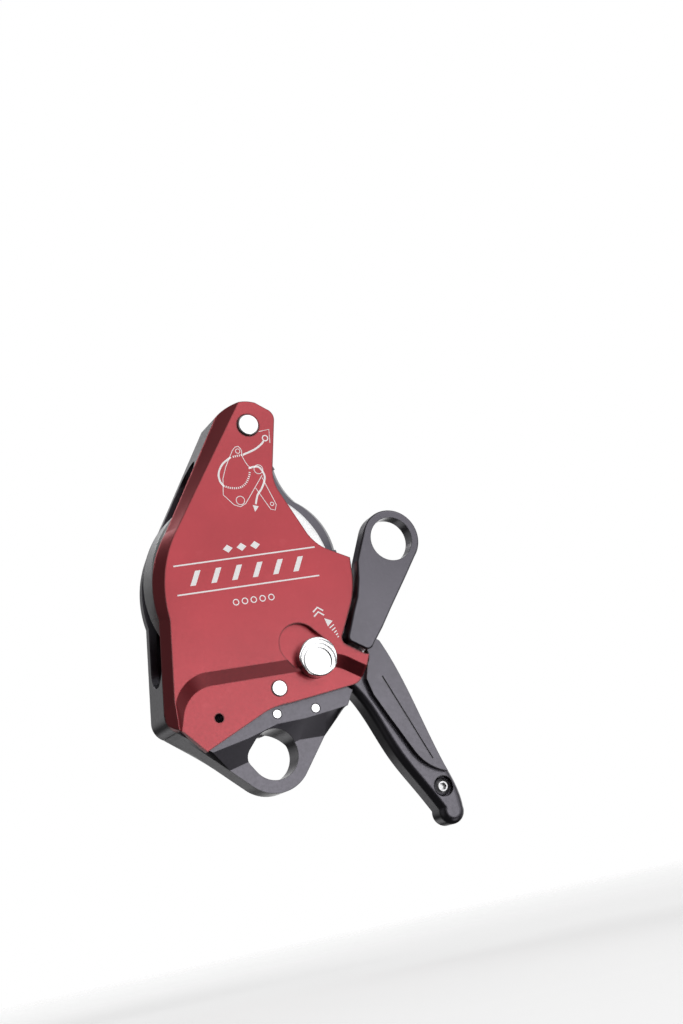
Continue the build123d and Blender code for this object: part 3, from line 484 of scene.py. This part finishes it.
def world_light():
    """A bright studio: white behind for the camera, soft panels and dark gaps for reflections."""
    world = bpy.data.worlds.new("studio")
    scene.world = world
    world.use_nodes = True
    nodes, links = world.node_tree.nodes, world.node_tree.links
    nodes.clear()
    direction = nodes.new("ShaderNodeTexCoord").outputs["Generated"]
    ambient = nodes.new("ShaderNodeValue")
    ambient.outputs["Value"].default_value = AMBIENT
    total = ambient.outputs["Value"]
    for panel in PANELS:
        add = nodes.new("ShaderNodeMath")
        add.operation = "ADD"
        links.new(total, add.inputs[0])
        links.new(panel_light(nodes, links, direction, panel), add.inputs[1])
        total = add.outputs["Value"]
    seen = nodes.new("ShaderNodeBackground")
    seen.inputs["Color"].default_value = WHITE
    felt = nodes.new("ShaderNodeBackground")
    felt.inputs["Color"].default_value = WHITE
    links.new(total, felt.inputs["Strength"])
    mix = nodes.new("ShaderNodeMixShader")
    links.new(nodes.new("ShaderNodeLightPath").outputs["Is Camera Ray"], mix.inputs["Fac"])
    links.new(felt.outputs["Background"], mix.inputs[1])
    links.new(seen.outputs["Background"], mix.inputs[2])
    links.new(mix.outputs["Shader"], nodes.new("ShaderNodeOutputWorld").inputs["Surface"])


def softbox(name, place, aim, size, power):
    """A square area light looking at a point."""
    data = bpy.data.lights.new(name, "AREA")
    data.shape = "SQUARE"
    data.size = size
    data.energy = power
    light = bpy.data.objects.new(name, data)
    scene.collection.objects.link(light)
    light.location = place
    light.rotation_euler = (Vector(aim) - Vector(place)).to_track_quat("-Z", "Y").to_euler()


world_light()
softbox("key_light", place=(0.45, -0.95, 0.75), aim=(0.01, 0, 0.05), size=0.7, power=1.4)
softbox("front_light", place=(0.33, -1.0, -0.05), aim=(0.01, 0, 0.03), size=0.5, power=1.2)
softbox("rear_light", place=(-0.3, 0.7, 0.7), aim=(0.01, 0, 0.05), size=0.5, power=1.5)

# ---------------------------------------------------------------- floor
FLOOR_HEIGHT = -0.085
FLOOR_RADIUS = 0.9


def floor_paper(radius):
    """White paper with a faint glow, clear towards its rim and from below."""
    finish = Finish("floor_paper")
    finish.put("Base Color", (0.93, 0.93, 0.93, 1))
    finish.put("Roughness", 0.8)
    finish.put("Specular IOR Level", 0.1)
    finish.put("Emission Color", WHITE)
    finish.put("Emission Strength", 0.3)
    from_centre = finish.nodes.new("ShaderNodeVectorMath")
    from_centre.operation = "LENGTH"
    finish.links.new(finish.place, from_centre.inputs[0])
    distance = from_centre.outputs["Value"]
    cover = finish.span(distance, low=1.0, high=0.0, start=radius * 0.2, stop=radius * 0.95)
    underside = finish.nodes.new("ShaderNodeNewGeometry").outputs["Backfacing"]
    shown = finish.nodes.new("ShaderNodeMath")
    shown.operation = "SUBTRACT"
    shown.use_clamp = True
    finish.links.new(cover, shown.inputs[0])
    finish.links.new(underside, shown.inputs[1])
    finish.put("Alpha", shown.outputs["Value"])
    return finish.material


def pale_floor(height, radius):
    """A round white floor that lights nothing and whose rim fades into the background."""
    mesh = bpy.data.meshes.new("floor")
    disc = bmesh.new()
    bmesh.ops.create_circle(disc, cap_ends=True, segments=96, radius=radius)
    disc.to_mesh(mesh)
    disc.free()
    mesh.materials.append(floor_paper(radius))
    floor = bpy.data.objects.new("floor", mesh)
    scene.collection.objects.link(floor)
    floor.location = (0, 0, height)
    floor.visible_glossy = False
    floor.visible_diffuse = False


pale_floor(FLOOR_HEIGHT, FLOOR_RADIUS)

# ---------------------------------------------------------------- camera
CAMERA_PLACE = (-0.2337, -0.6645, -0.0570)
CAMERA_RIGHT = Vector((0.91521, -0.34499, -0.20825))
CAMERA_FORWARD = Vector((0.38524, 0.90065, 0.20102))
SENSOR_HEIGHT = 36
FOCAL_LENGTH = 64.5
NEAREST_SEEN = 0.01


def photo_camera():
    """The camera at the photograph's angle. Its sensor and lens are in millimetres, the rest in metres."""
    data = bpy.data.cameras.new("camera")
    data.sensor_fit = "VERTICAL"
    data.sensor_height = SENSOR_HEIGHT
    data.lens = FOCAL_LENGTH
    data.clip_start = NEAREST_SEEN
    camera = bpy.data.objects.new("camera", data)
    scene.collection.objects.link(camera)
    up = CAMERA_RIGHT.cross(CAMERA_FORWARD)
    pose = Matrix((CAMERA_RIGHT, up, -CAMERA_FORWARD)).transposed().to_4x4()
    pose.translation = CAMERA_PLACE
    camera.matrix_world = pose
    return camera


scene.camera = photo_camera()
scene.view_settings.view_transform = "Standard"
